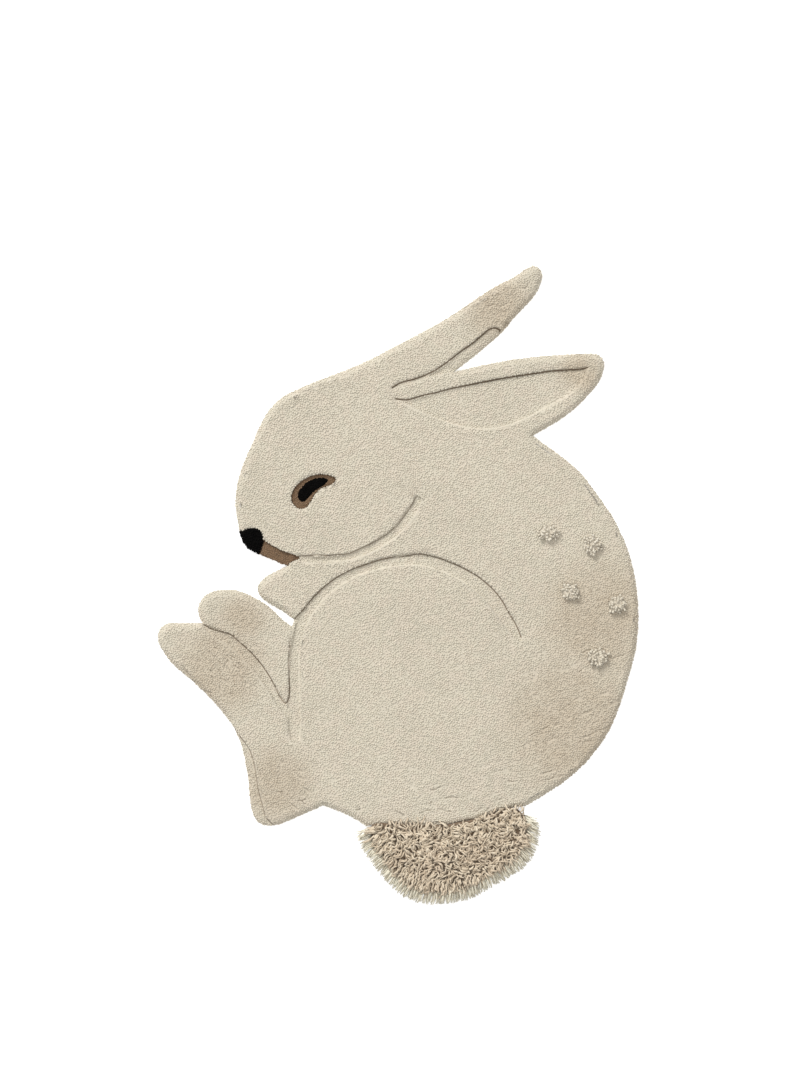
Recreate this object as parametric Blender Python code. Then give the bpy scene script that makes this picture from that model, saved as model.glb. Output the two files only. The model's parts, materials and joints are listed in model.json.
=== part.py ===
"""Rabbit shaped kids rug: a tufted mat with a carved cut pile, seen from above with the pile up.

The rug lies on the plane z = 0, its origin at the middle of its outline's box. +Y points to the ears,
-X to the nose and +Z up through the pile. The tables are in millimetres and the model is in metres.
"""
import math

import bmesh
import bpy
import numpy as np
from mathutils import Vector
from mathutils.geometry import delaunay_2d_cdt

MM = 0.001

# Heights above the floor, in mm
BACKING = 2.0
PILE = 14.0
CARVED_PILE = 9.0
RIM_WALL = 7.0
CARVED_RIM_WALL = 5.0
LOW_YARN = 9.5
NOSE_YARN = 13.0
PUPIL_FLOOR = 4.5
TUFT_TOP = 23.0
SHAG_RIM = 16.0
SHAG_TOP = 25.0

# Widths across the surface, in mm
GAP = 0.3
RIM_ROUND = 10.0
INLAY_ROUND = 3.0
SHAG_ROUND = 24.0
BANK = 3.0
OUTLINE_STEP = 10.0
BANK_STEP = 8.0
INLAY_STEP = 6.0
FIELD_STEP = 30.0
SHAG_FIELD_STEP = 13.0

# Outline, clockwise. Each stretch runs from one corner to the next: x, y in mm
MOUTH_EDGE = [(-207, 38), (-221, 43), (-240, 51), (-261, 60)]
NOSE_EDGE = [(-261, 60), (-281, 71), (-290, 82), (-297, 102)]
FACE_AND_FAR_EAR = [
    (-297, 102), (-304, 138), (-304, 177), (-293, 222), (-275, 264), (-254, 311), (-237, 336),
    (-216, 355), (-166, 379), (-81, 412), (0, 452), (96, 505), (182, 562), (220, 581), (244, 598),
    (258, 601), (268, 593), (271, 581), (259, 549), (219, 505), (194, 475), (156, 442), (104, 401),
]
NEAR_EAR = [
    (104, 401), (139, 410), (225, 426), (311, 434), (356, 436), (377, 434), (386, 423), (386, 406),
    (377, 383), (339, 340), (311, 317), (253, 282),
]
BACK = [
    (253, 282), (300, 248), (341, 214), (378, 166), (404, 127), (425, 84), (441, 34), (449, -15),
    (451, -66), (446, -120), (430, -180), (414, -231), (394, -275), (361, -322), (320, -361),
    (272, -394), (239, -413),
]
TAIL_BORDER = [(239, -413), (207, -419), (170, -432), (115, -446), (55, -452), (0, -450), (-58, -451)]
BELLY = [(-58, -451), (-92, -431), (-140, -412)]
HEEL_LEG_AND_NEAR_FOOT = [
    (-140, -412), (-186, -432), (-229, -449), (-247, -450), (-263, -444), (-272, -430), (-277, -409),
    (-283, -352), (-294, -300), (-313, -259), (-341, -223), (-381, -183), (-425, -144), (-448, -110),
    (-451, -93), (-446, -79), (-433, -71), (-409, -70), (-366, -70),
]
FAR_FOOT = [
    (-366, -70), (-374, -56), (-375, -42), (-370, -27), (-358, -15), (-341, -9), (-316, -7),
    (-291, -12), (-247, -36), (-210, -69), (-199, -76),
]
WEDGE_END = [(-199, -76), (-194, -64)]
PAW = [
    (-194, -64), (-217, -47), (-250, -27), (-261, -15), (-264, -4), (-258, 8), (-245, 19), (-207, 38),
]
OUTLINE = [
    MOUTH_EDGE, NOSE_EDGE, FACE_AND_FAR_EAR, NEAR_EAR, BACK, TAIL_BORDER, BELLY,
    HEEL_LEG_AND_NEAR_FOOT, FAR_FOOT, WEDGE_END, PAW,
]

# Areas where the pile is carved down, as loops: x, y in mm
NEAR_EAR_PANEL = [
    (-4, 351), (12, 347), (52, 356), (144, 380), (239, 397), (324, 407), (352, 408), (351, 396),
    (334, 371), (311, 353), (253, 322), (196, 300), (139, 296), (75, 313), (24, 339),
]
FAR_EAR_PANEL = [
    (-11, 371), (4, 379), (35, 388), (67, 400), (90, 415), (129, 448), (167, 478), (182, 484),
    (194, 479), (205, 460), (165, 434), (130, 410), (104, 402), (72, 395), (29, 382), (2, 374),
]
HEEL_STRIP = [
    (-310, -262), (-297, -283), (-281, -303), (-272, -324), (-267, -353), (-263, -381), (-256, -410),
    (-249, -433), (-235, -449), (-250, -470), (-300, -440), (-308, -350), (-325, -270),
]

# Carved channels, as bands along a line: x, y, width in mm
CHIN_CHANNEL = [
    (-184, 51, 9), (-135, 49, 10), (-86, 57, 12), (-40, 78, 15), (-6, 101, 16), (20, 134, 16),
    (32, 150, 15), (40, 168, 8),
]
HAUNCH_AND_SHIN_CHANNEL = [
    (230, -104, 5), (220, -88, 14), (207, -68, 20), (179, -27, 23), (136, 12, 24), (86, 37, 24),
    (37, 50, 22), (-19, 44, 18), (-65, 31, 16), (-107, 10, 17), (-145, -20, 19), (-176, -58, 19),
    (-190, -105, 18), (-193, -176, 21), (-194, -260, 24), (-193, -288, 18),
]
FOOT_CHANNEL = [
    (-363, -75, 6), (-349, -84, 14), (-319, -101, 17), (-276, -138, 17), (-243, -182, 16),
    (-219, -221, 16), (-202, -243, 14),
]

# Areas of other yarn: x, y in mm
NOSE_TOP = [(-297, 102), (-281, 108), (-263, 108), (-255, 99), (-252, 87)]
NOSE_SIDE = [(-252, 87), (-256, 74), (-261, 60)]
MOUTH_TOP = [(-252, 87), (-228, 72), (-198, 60), (-183, 55)]
MOUTH_END = [(-183, 55), (-186, 50), (-200, 44), (-207, 38)]
EYE_SURROUND = [
    (-115, 200), (-122, 191), (-147, 180), (-161, 162), (-172, 146), (-186, 144), (-200, 157),
    (-198, 179), (-181, 198), (-151, 210), (-124, 207),
]
EYE_PUPIL = [
    (-188, 168), (-179, 157), (-168, 166), (-157, 178), (-138, 190), (-130, 200), (-144, 203),
    (-163, 199), (-180, 186),
]

# Raised tufts on the back: x, y, length, width in mm, and the turn in degrees
TUFTS = [
    (282, 99, 41, 28, 8),
    (363, 76, 34, 36, 20),
    (323, -12, 36, 32, -15),
    (411, -35, 34, 34, 40),
    (375, -135, 34, 38, 65),
]
TUFT_STEM = 0.55
TUFT_POINTS = 20
TUFT_LOBES = 7
TUFT_LOBE_SHARE = 0.13

# Tail: the shag's solid part, x, y in mm, from the right end of the border round to the left
SHAG_RIM_LINE = [
    (237, -419), (246, -438), (248, -462), (244, -484), (232, -504), (205, -526), (172, -545),
    (130, -568), (92, -577), (57, -574), (27, -558), (5, -538), (-16, -512), (-36, -486), (-50, -467),
    (-54, -455),
]
LOCK_WIDTH = 8.0
LOCK_LENGTH = 21.0
LOCK_LENGTH_SPREAD = 3.0
LOCK_SIDE_SPREAD = 1.8
LOCK_TIP_SHARE = 0.35
LOCK_TIP_HALF_HEIGHT = 1.3
LOCK_TIP_HEIGHTS = {"lower": 1.3, "upper": 7.0}
LUMP_HEIGHT = 2.2
LUMP_PITCH = np.array([37.0, 43.0])

YARN_CREAM = (0.68, 0.62, 0.50)
YARN_SHAG = (0.58, 0.50, 0.40)
YARN_BROWN = (0.30, 0.21, 0.15)
YARN_BLACK = (0.004, 0.004, 0.004)


# Curves and distances in the plane

def smooth(points, step, closed=False):
    """Evenly spaced points, about `step` apart, on a smooth curve through all the given points."""
    given = np.array(points, float)
    if closed:
        knots = np.vstack([given[-1], given, given[0], given[1]])
    else:
        knots = np.vstack([2 * given[0] - given[1], given, 2 * given[-1] - given[-2]])
    fine = []
    for before, start, end, after in zip(knots, knots[1:], knots[2:], knots[3:]):
        spans = [math.sqrt(max(np.linalg.norm(b[:2] - a[:2]), 1e-6))
                 for a, b in ((before, start), (start, end), (end, after))]
        slope_start = spans[1] * ((start - before) / spans[0] - (end - before) / (spans[0] + spans[1])
                                  + (end - start) / spans[1])
        slope_end = spans[1] * ((end - start) / spans[1] - (after - start) / (spans[1] + spans[2])
                                + (after - end) / spans[2])
        for t in np.linspace(0.0, 1.0, 9)[:-1]:
            fine.append((2 * t**3 - 3 * t**2 + 1) * start + (t**3 - 2 * t**2 + t) * slope_start
                        + (3 * t**2 - 2 * t**3) * end + (t**3 - t**2) * slope_end)
    fine.append(given[0] if closed else given[-1])
    fine = np.array(fine)
    travelled = np.concatenate([[0.0], np.cumsum(np.linalg.norm(np.diff(fine[:, :2], axis=0), axis=1))])
    count = max(1, round(travelled[-1] / step))
    places = np.linspace(0.0, travelled[-1], count + 1)
    even = np.column_stack([np.interp(places, travelled, column) for column in fine.T])
    return even[:-1] if closed else even


def joined(stretches, step):
    """One closed loop from stretches that meet at corners."""
    return np.vstack([smooth(stretch, step)[:-1] for stretch in stretches])


def normals(line, closed):
    """Unit vectors to the left of a line's direction, one for each point."""
    if closed:
        along = np.roll(line, -1, axis=0) - np.roll(line, 1, axis=0)
    else:
        along = np.gradient(line, axis=0)
    along /= np.linalg.norm(along, axis=1)[:, None]
    return np.column_stack([-along[:, 1], along[:, 0]])


def band(rows, step):
    """The loop round a band whose rows give the middle line's x, y and the width there."""
    line = smooth(rows, step)
    side = normals(line[:, :2], closed=False) * line[:, 2:] / 2
    return np.vstack([line[:, :2] + side, (line[:, :2] - side)[::-1]])


def depth_inside(points, loop):
    """Distance from each point to a loop, positive inside it and negative outside."""
    start = loop
    along = np.roll(loop, -1, axis=0) - start
    to_point = points[:, None, :] - start[None, :, :]
    share = np.clip((to_point * along).sum(2) / (along**2).sum(1), 0.0, 1.0)
    nearest = np.linalg.norm(to_point - share[:, :, None] * along, axis=2).min(1)
    x, y = points[:, 0:1], points[:, 1:2]
    end = start + along
    spans_y = (start[:, 1] > y) != (end[:, 1] > y)
    rise = np.where(along[:, 1] == 0, 1e-12, along[:, 1])
    crossing = start[:, 0] + (y - start[:, 1]) * along[:, 0] / rise
    inside = (spans_y & (x < crossing)).sum(1) % 2 == 1
    return np.where(inside, nearest, -nearest)


def moved_in(loop, distance):
    """A loop moved inwards by a distance, or outwards by a negative one, small beside its bends."""
    after = np.roll(loop, -1, axis=0)
    area = (loop[:, 0] * after[:, 1] - after[:, 0] * loop[:, 1]).sum()
    return loop + normals(loop, closed=True) * distance * math.copysign(1.0, area)


def field(loop, step):
    """A triangular grid of points over a loop's box."""
    low, high = loop.min(0), loop.max(0)
    rows = np.arange(low[1], high[1], step * math.sin(math.radians(60)))
    grid = [(x + (row % 2) * step / 2, y)
            for row, y in enumerate(rows) for x in np.arange(low[0], high[0], step)]
    return np.array(grid)


def spaced(groups, fixed, loop, edge):
    """Points from groups of (points, spacing), kept apart, inside a loop and off its edge."""
    kept = fixed
    for points, spacing in groups:
        for point in points[depth_inside(points, loop) > edge]:
            if np.linalg.norm(kept - point, axis=1).min() >= spacing:
                kept = np.vstack([kept, point])
    return kept[len(fixed):]


def rounded_edge(distance, wall, top, radius):
    """Height of a pile that bends over at its edge, in a quarter ellipse."""
    share = np.clip(distance / radius, 0.0, 1.0)
    return wall + (top - wall) * np.sqrt(1.0 - (1.0 - share) ** 2)


# Solids

def yarn(name, colour):
    """A matt yarn material."""
    material = bpy.data.materials.new(name)
    material.use_nodes = True
    shader = material.node_tree.nodes["Principled BSDF"]
    shader.inputs["Base Color"].default_value = (*colour, 1.0)
    shader.inputs["Roughness"].default_value = 0.95
    shader.inputs["Metallic"].default_value = 0.0
    return material


def triangulated(points, edges, loop):
    """Triangles between points, with the given edges among theirs, inside a loop."""
    flat = [Vector(point) for point in points.tolist()]
    _, _, faces, sources, _, _ = delaunay_2d_cdt(flat, edges, [], 0, 1e-6, True)
    faces = [[sources[corner][0] for corner in face] for face in faces]
    middles = np.array([points[face].mean(0) for face in faces])
    triangles = []
    for face, depth in zip(faces, depth_inside(middles, loop)):
        a, b, c = points[face]
        turn = (b[0] - a[0]) * (c[1] - a[1]) - (b[1] - a[1]) * (c[0] - a[0])
        if depth > 0:
            triangles.append(face if turn > 0 else face[::-1])
    return triangles


def closed_edges(first, count):
    """Edges of a loop of points that follow one another."""
    return [(first + i, first + (i + 1) % count) for i in range(count)]


def pile_mesh(loop, base, surface, inner, pockets=(), tiers=()):
    """A closed mesh: flat at `base`, upright at its loop, its top at surface(points).

    Each pocket is (line, area, floor): a line of points that walls it off, the loop of its area, and
    the height of its floor. A pocket whose line is open starts and ends on points of the loop.
    Tiers are heights at which the outer wall is divided.
    """
    points = loop
    edges = closed_edges(0, len(loop))
    for line, area, _ in pockets:
        if line is area:
            edges += closed_edges(len(points), len(line))
            points = np.vstack([points, line])
        else:
            ends = [int(np.linalg.norm(loop - end, axis=1).argmin()) for end in (line[0], line[-1])]
            middle = list(range(len(points), len(points) + len(line) - 2))
            chain = [ends[0], *middle, ends[1]]
            edges += list(zip(chain, chain[1:]))
            points = np.vstack([points, line[1:-1]])
    points = np.vstack([points, inner])
    triangles = triangulated(points, edges, loop)
    middles = np.array([points[triangle].mean(0) for triangle in triangles])
    regions = np.zeros(len(triangles), int)
    for number, (_, area, _) in enumerate(pockets, start=1):
        regions[depth_inside(middles, area) > 0] = number
    top = surface(points)

    mesh = bmesh.new()
    corners = {}

    def corner(point, height):
        key = (point, round(float(height), 6))
        if key not in corners:
            corners[key] = mesh.verts.new((points[point][0] * MM, points[point][1] * MM, height * MM))
        return corners[key]

    def level(point, region):
        return top[point] if region == 0 else pockets[region - 1][2]

    region_of = {}
    levels = {}
    for triangle, region in zip(triangles, regions):
        mesh.faces.new([corner(point, level(point, region)) for point in triangle])
        for start, end in zip(triangle, triangle[1:] + triangle[:1]):
            region_of[start, end] = region
            levels.setdefault(start, set()).add(round(float(level(start, region)), 6))

    def column(point, low, high, divided):
        between = levels[point] | (set(tiers) if divided else set())
        return [low, *sorted(height for height in between if low < height < high), high]

    for (start, end), region in region_of.items():
        other = region_of.get((end, start))
        if other is None:
            low = {point: base for point in (start, end)}
        elif level(start, region) > level(start, other):
            low = {point: level(point, other) for point in (start, end)}
        else:
            continue
        left, right = (column(point, round(float(low[point]), 6), round(float(level(point, region)), 6),
                              other is None) for point in (start, end))
        if len(left) == len(right):
            strips = [(left[i:i + 2], right[i:i + 2]) for i in range(len(left) - 1)]
        else:
            strips = [(left, right)]
        for near, far in strips:
            mesh.faces.new([corner(start, height) for height in reversed(near)]
                           + [corner(end, height) for height in far])
    for triangle in triangulated(loop, closed_edges(0, len(loop)), loop):
        mesh.faces.new([corner(point, base) for point in reversed(triangle)])
    return mesh


def node(name, mesh, material):
    """An object from a bmesh, in triangles, with smooth shading between sharp edges."""
    bmesh.ops.triangulate(mesh, faces=mesh.faces[:])
    data = bpy.data.meshes.new(name)
    mesh.to_mesh(data)
    mesh.free()
    data.materials.append(material)
    data.shade_smooth()
    data.set_sharp_from_angle(angle=math.radians(35))
    item = bpy.data.objects.new(name, data)
    bpy.context.scene.collection.objects.link(item)
    return item


def tuft_ring(row, share, lobed):
    """Points round a raised tuft, at a share of its size: an ellipse with lobes of yarn ends."""
    x, y, length, width, turn = row
    angles = np.linspace(0.0, 2 * math.pi, TUFT_POINTS, endpoint=False)
    lobes = 1.0 + TUFT_LOBE_SHARE * lobed * np.cos(TUFT_LOBES * angles + x)
    across = share * lobes * length / 2 * np.cos(angles)
    up = share * lobes * width / 2 * np.sin(angles)
    cos, sin = math.cos(math.radians(turn)), math.sin(math.radians(turn))
    return np.column_stack([x + across * cos - up * sin, y + across * sin + up * cos])


def body(material):
    """The mat, with its carved pile and the pockets that the other yarns stand in."""
    loop = joined(OUTLINE, OUTLINE_STEP)
    carved = [smooth(NEAR_EAR_PANEL, BANK_STEP, closed=True), smooth(FAR_EAR_PANEL, BANK_STEP, closed=True),
              smooth(HEEL_STRIP, BANK_STEP, closed=True)]
    carved += [band(rows, BANK_STEP) for rows in (CHIN_CHANNEL, HAUNCH_AND_SHIN_CHANNEL, FOOT_CHANNEL)]

    eye = smooth(EYE_SURROUND, INLAY_STEP, closed=True)
    muzzle_line = np.vstack([smooth(NOSE_TOP, INLAY_STEP)[:-1], smooth(MOUTH_TOP, INLAY_STEP)[:-1],
                             smooth(MOUTH_END, INLAY_STEP)])
    muzzle_edge = np.vstack([smooth(MOUTH_EDGE, OUTLINE_STEP)[1:-1], smooth(NOSE_EDGE, OUTLINE_STEP)[:-1]])
    muzzle = np.vstack([muzzle_line, muzzle_edge])
    pockets = [(eye, eye, BACKING), (muzzle_line, muzzle, BACKING)]
    for row in TUFTS:
        ring = tuft_ring(row, TUFT_STEM, lobed=0)[::2]
        pockets.append((ring, ring, BACKING))

    def surface(points):
        rim = rounded_edge(depth_inside(points, loop), RIM_WALL, PILE, RIM_ROUND)
        cut = np.zeros(len(points))
        for area in carved:
            share = np.clip(depth_inside(points, area) / BANK + 0.5, 0.0, 1.0)
            cut = np.maximum(cut, share * (PILE - CARVED_PILE))
        return np.maximum(rim - cut, np.minimum(rim, CARVED_RIM_WALL))

    walls = np.vstack([line for line, _, _ in pockets])
    banks = np.vstack([moved_in(area, side * BANK / 2) for area in carved for side in (1, -1)])
    rims = np.vstack([moved_in(loop, RIM_ROUND * share) for share in (0.3, 1.0)])
    rings = np.vstack([moved_in(area, -BANK_STEP) for _, area, _ in pockets])
    groups = [(banks, BANK * 0.75), (rims, RIM_ROUND * 0.45), (rings, BANK_STEP * 0.6),
              (field(loop, FIELD_STEP), FIELD_STEP * 0.42)]
    inner = spaced(groups, np.vstack([loop, walls]), loop, RIM_ROUND * 0.2)
    clear = np.ones(len(inner), bool)
    for _, area, _ in pockets:
        clear &= depth_inside(inner, area) < -GAP * 5
    return node("rug_body", pile_mesh(loop, 0.0, surface, inner[clear], pockets), material)


def inlay(name, loop, base, top, material, pockets=()):
    """An area of other yarn: a pad with a rounded edge, a gap away from the walls round it."""
    edge = moved_in(loop, GAP)

    def surface(points):
        return rounded_edge(depth_inside(points, edge), top - INLAY_ROUND * 0.7, top, INLAY_ROUND)

    walls = np.vstack([edge, *[line for line, _, _ in pockets]])
    inner = spaced([(moved_in(edge, INLAY_ROUND), INLAY_ROUND)], walls, edge, INLAY_ROUND * 0.8)
    for _, area, _ in pockets:
        inner = inner[depth_inside(inner, area) < -GAP * 5]
    return node(name, pile_mesh(edge, base + GAP, surface, inner, pockets), material)


def tuft(number, row, material):
    """One raised tuft: its roots in the mat and its yarn ends fanned out over the pile."""
    over = PILE + GAP
    stem = moved_in(tuft_ring(row, TUFT_STEM, lobed=0)[::2], GAP)
    rings = [(tuft_ring(row, 0.92, 1), over), (tuft_ring(row, 1.0, 1), over + 2.5),
             (tuft_ring(row, 0.8, 1), TUFT_TOP - 2.0), (tuft_ring(row, 0.35, 0), TUFT_TOP)]
    mesh = bmesh.new()
    low = [mesh.verts.new((*(point * MM), (BACKING + GAP) * MM)) for point in stem]
    high = [mesh.verts.new((*(point * MM), over * MM)) for point in stem]
    outer = [[mesh.verts.new((*(point * MM), height * MM)) for point in ring] for ring, height in rings]
    count = len(low)
    for i in range(count):
        after = (i + 1) % count
        mesh.faces.new([low[i], low[after], high[after], high[i]])
        middle, end = 2 * i + 1, (2 * i + 2) % TUFT_POINTS
        mesh.faces.new([high[i], high[after], outer[0][end], outer[0][middle], outer[0][2 * i]])
    for below, above in zip(outer, outer[1:]):
        for i in range(TUFT_POINTS):
            after = (i + 1) % TUFT_POINTS
            mesh.faces.new([below[i], below[after], above[after], above[i]])
    mesh.faces.new(low[::-1])
    crown = mesh.verts.new((row[0] * MM, row[1] * MM, (TUFT_TOP + 1.0) * MM))
    for i in range(TUFT_POINTS):
        mesh.faces.new([outer[-1][i], outer[-1][(i + 1) % TUFT_POINTS], crown])
    return node(f"spot_tuft_{number}", mesh, material)


def tail(material):
    """The tail: a lumpy slab of shag with two tiers of locks round its rim."""
    border = smooth(TAIL_BORDER, OUTLINE_STEP)[1:-1]
    border = (border + normals(border, closed=False) * GAP)[::-1]
    rim = smooth(SHAG_RIM_LINE, LOCK_WIDTH)
    loop = np.vstack([rim, border])
    centre = loop.mean(0)

    def surface(points):
        dome = rounded_edge(depth_inside(points, loop), SHAG_RIM, SHAG_TOP, SHAG_ROUND)
        inwards = np.clip(depth_inside(points, loop) / LOCK_WIDTH, 0.0, 1.0)
        waves = np.sin(2 * math.pi * (points + points[:, ::-1] / 3) / LUMP_PITCH)
        return dome + LUMP_HEIGHT * inwards * waves.sum(1)

    inner = spaced([(field(loop, SHAG_FIELD_STEP), SHAG_FIELD_STEP * 0.6)], loop, loop,
                   SHAG_FIELD_STEP * 0.4)
    mesh = pile_mesh(loop, 0.0, surface, inner, tiers=(SHAG_RIM / 2,))
    mesh.normal_update()
    on_rim = {tuple(np.round(point, 2)) for point in rim}
    walls = []
    for face in mesh.faces:
        places = {tuple(np.round(np.array(vert.co[:2]) / MM, 2)) for vert in face.verts}
        if abs(face.normal.z) < 0.1 and places <= on_rim:
            walls.append(face)
    roots = [face.calc_center_median() for face in walls]
    locks = bmesh.ops.extrude_discrete_faces(mesh, faces=walls)["faces"]
    for number, (lock, root) in enumerate(zip(locks, roots)):
        tier = "lower" if root.z < SHAG_RIM / 2 * MM else "upper"
        from_centre = Vector((root.x / MM - centre[0], root.y / MM - centre[1], 0.0)).normalized()
        outwards = (from_centre + lock.normal.xy.to_3d()).normalized()
        sideways = Vector((-outwards.y, outwards.x, 0.0))
        length = LOCK_LENGTH + LOCK_LENGTH_SPREAD * math.sin(2.4 * number)
        tip = root + (outwards * length + sideways * LOCK_SIDE_SPREAD * math.sin(1.7 * number)) * MM
        for vert in lock.verts:
            half_height = math.copysign(LOCK_TIP_HALF_HEIGHT, vert.co.z - root.z)
            vert.co = tip + (vert.co - root) * LOCK_TIP_SHARE
            vert.co.z = (LOCK_TIP_HEIGHTS[tier] + half_height) * MM
    return node("tail_shag", mesh, material)


def build():
    for item in list(bpy.data.objects):
        bpy.data.objects.remove(item, do_unlink=True)
    cream = yarn("cream_yarn", YARN_CREAM)
    shag = yarn("shag_yarn", YARN_SHAG)
    brown = yarn("brown_yarn", YARN_BROWN)
    black = yarn("black_yarn", YARN_BLACK)

    body(cream)
    nose = np.vstack([smooth(line, INLAY_STEP)[:-1] for line in (NOSE_TOP, NOSE_SIDE, NOSE_EDGE)])
    mouth = np.vstack([smooth(line, INLAY_STEP)[:-1]
                       for line in (MOUTH_TOP, MOUTH_END, MOUTH_EDGE, NOSE_SIDE[::-1])])
    inlay("nose", nose, BACKING, NOSE_YARN, black)
    inlay("mouth_band", mouth, BACKING, LOW_YARN, brown)
    pupil = smooth(EYE_PUPIL, INLAY_STEP, closed=True)
    inlay("eye_surround", smooth(EYE_SURROUND, INLAY_STEP, closed=True), BACKING, LOW_YARN, brown,
          pockets=[(pupil, pupil, PUPIL_FLOOR)])
    inlay("eye_pupil", pupil, PUPIL_FLOOR, LOW_YARN, black)
    for number, row in enumerate(TUFTS, start=1):
        tuft(number, row, cream)
    tail(shag)


build()
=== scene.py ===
# %% [markdown]
# # A rabbit shaped rug, dressed with yarn
#
# The solids of this rug come from a packed model: a mat with carved channels, four small areas of
# other yarn, five raised tufts and a slab for the tail. They have the right shape and size, but they
# are smooth. This lesson gives them their yarn. Every piece stays where its solid is, and in metres.

# %% Load the solids
import json
import math
import random

import bmesh
import bpy
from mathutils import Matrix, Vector

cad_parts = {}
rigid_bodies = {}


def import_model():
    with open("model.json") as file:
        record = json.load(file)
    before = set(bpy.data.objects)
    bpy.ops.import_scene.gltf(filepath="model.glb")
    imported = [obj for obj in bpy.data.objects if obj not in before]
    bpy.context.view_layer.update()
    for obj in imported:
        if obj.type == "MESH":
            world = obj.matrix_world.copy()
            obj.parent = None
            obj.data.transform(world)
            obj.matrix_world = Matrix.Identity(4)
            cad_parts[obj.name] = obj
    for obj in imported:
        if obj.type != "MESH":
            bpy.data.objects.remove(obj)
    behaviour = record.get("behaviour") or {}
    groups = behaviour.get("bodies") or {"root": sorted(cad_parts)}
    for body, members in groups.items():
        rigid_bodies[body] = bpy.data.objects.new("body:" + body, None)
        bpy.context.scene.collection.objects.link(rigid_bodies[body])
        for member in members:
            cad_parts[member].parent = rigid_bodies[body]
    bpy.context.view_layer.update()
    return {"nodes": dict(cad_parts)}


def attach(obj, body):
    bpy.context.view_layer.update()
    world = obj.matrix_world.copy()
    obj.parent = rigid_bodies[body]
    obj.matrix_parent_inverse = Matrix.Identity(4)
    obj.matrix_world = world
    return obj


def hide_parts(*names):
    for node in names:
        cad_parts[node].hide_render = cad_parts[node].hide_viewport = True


MM = 0.001
for leftover in list(bpy.data.objects):
    bpy.data.objects.remove(leftover)
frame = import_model()
bpy.context.scene.view_settings.view_transform = "Standard"
print("solids:", sorted(frame["nodes"]))

# %% [markdown]
# ## Node trees written as expressions
#
# A material and a Geometry Nodes modifier are both trees of nodes. Placing nodes one by one hides what
# they work out, so a small class wraps one socket: adding two sockets adds a Math node. One method,
# `make`, adds every other kind of node.

# %% A socket that takes part in arithmetic
class Socket:
    """One output of a node. Arithmetic on it adds Math nodes to the same tree."""

    def __init__(self, tree, output):
        self.tree, self.output = tree, output

    def other(self, name):
        """Another output of the same node."""
        return Socket(self.tree, usable(self.output.node.outputs, name))

    def maths(self, operation, *values):
        return self.tree.make("ShaderNodeMath", {"operation": operation}, dict(enumerate(values)))

    def __add__(self, other):
        return self.maths("ADD", self, other)

    def __sub__(self, other):
        return self.maths("SUBTRACT", self, other)

    def __rsub__(self, other):
        return self.maths("SUBTRACT", other, self)

    def __mul__(self, other):
        return self.maths("MULTIPLY", self, other)

    def __truediv__(self, other):
        return self.maths("DIVIDE", self, other)

    def at_least(self, other):
        return self.maths("MAXIMUM", self, other)

    def at_most(self, other):
        return self.maths("MINIMUM", self, other)


def usable(sockets, key):
    """A socket by its number, or by its name among those that the node's settings leave in use."""
    if isinstance(key, int):
        return sockets[key]
    return next(socket for socket in sockets if socket.name == key and socket.enabled)


class Tree:
    """A node tree that is being written."""

    def __init__(self, tree):
        self.tree = tree

    def make(self, kind, settings=None, values=None, output=None):
        """Adds a node: first its settings, then the values or links of its sockets."""
        node = self.tree.nodes.new(kind)
        for name, value in (settings or {}).items():
            setattr(node, name, value)
        for key, value in (values or {}).items():
            self.feed(usable(node.inputs, key), value)
        outputs = [socket for socket in node.outputs if socket.enabled]
        return Socket(self, outputs[0] if output is None else usable(node.outputs, output))

    def feed(self, socket, value):
        if isinstance(value, Socket):
            self.tree.links.new(value.output, socket)
        else:
            socket.default_value = value


print("a socket knows:", [name for name in vars(Socket) if name.startswith("__")])

# %% Short words for the nodes that come back often
def between(value, low, high):
    """A share from 0 at `low` to 1 at `high`, with soft ends."""
    return value.tree.make("ShaderNodeMapRange", {"interpolation_type": "SMOOTHSTEP"},
                           {"Value": value, "From Min": low, "From Max": high})


def blended(tree, share, first, second):
    """A colour between two colours or colour sockets."""
    first, second = ((*c, 1.0) if isinstance(c, tuple) else c for c in (first, second))
    return tree.make("ShaderNodeMix", {"data_type": "RGBA", "clamp_factor": True},
                     {"Factor": share, "A": first, "B": second})


def vector_maths(tree, operation, first, second, output=None):
    settings = {"operation": operation}
    values = {0: first, ("Scale" if operation == "SCALE" else 1): second}
    return tree.make("ShaderNodeVectorMath", settings, values, output)


def axis_of(tree, vector, axis):
    """One of the three numbers of a vector."""
    return tree.make("ShaderNodeSeparateXYZ", {}, {"Vector": vector}, output=axis)


def noise(tree, place, scale, detail=2.0, output=None):
    return tree.make("ShaderNodeTexNoise", {}, {"Vector": place, "Scale": scale, "Detail": detail}, output)


# %% [markdown]
# ## Working on meshes as by hand
#
# Operators act on whatever is selected, and loading the solids leaves them all selected. So each helper
# first deselects everything, then picks the one object that it works on.

# %% Selecting, copying and applying
def pick(item):
    """Selects one object, and nothing else."""
    bpy.ops.object.select_all(action="DESELECT")
    item.select_set(True)
    bpy.context.view_layer.objects.active = item
    return item


def copy_of(node, name):
    """A solid's own mesh in a new object, with its loose triangles joined."""
    item = frame["nodes"][node].copy()
    item.data = item.data.copy()
    item.name = item.data.name = name
    for key in list(item.keys()):
        del item[key]
    item.parent = None
    bpy.context.scene.collection.objects.link(item)
    pick(item)
    bpy.ops.object.mode_set(mode="EDIT")
    bpy.ops.mesh.select_all(action="SELECT")
    bpy.ops.mesh.remove_doubles(threshold=0.00001)
    bpy.ops.object.mode_set(mode="OBJECT")
    bpy.ops.mesh.customdata_custom_splitnormals_clear()
    bpy.ops.object.shade_smooth()
    item.data.materials.clear()
    return item


def finer(item, levels):
    """Splits every face into smaller ones, `levels` times, without rounding the shape."""
    pick(item)
    split = item.modifiers.new("finer", "SUBSURF")
    split.subdivision_type = "SIMPLE"
    split.levels = split.render_levels = levels
    bpy.ops.object.modifier_apply(modifier=split.name)
    return item


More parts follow.
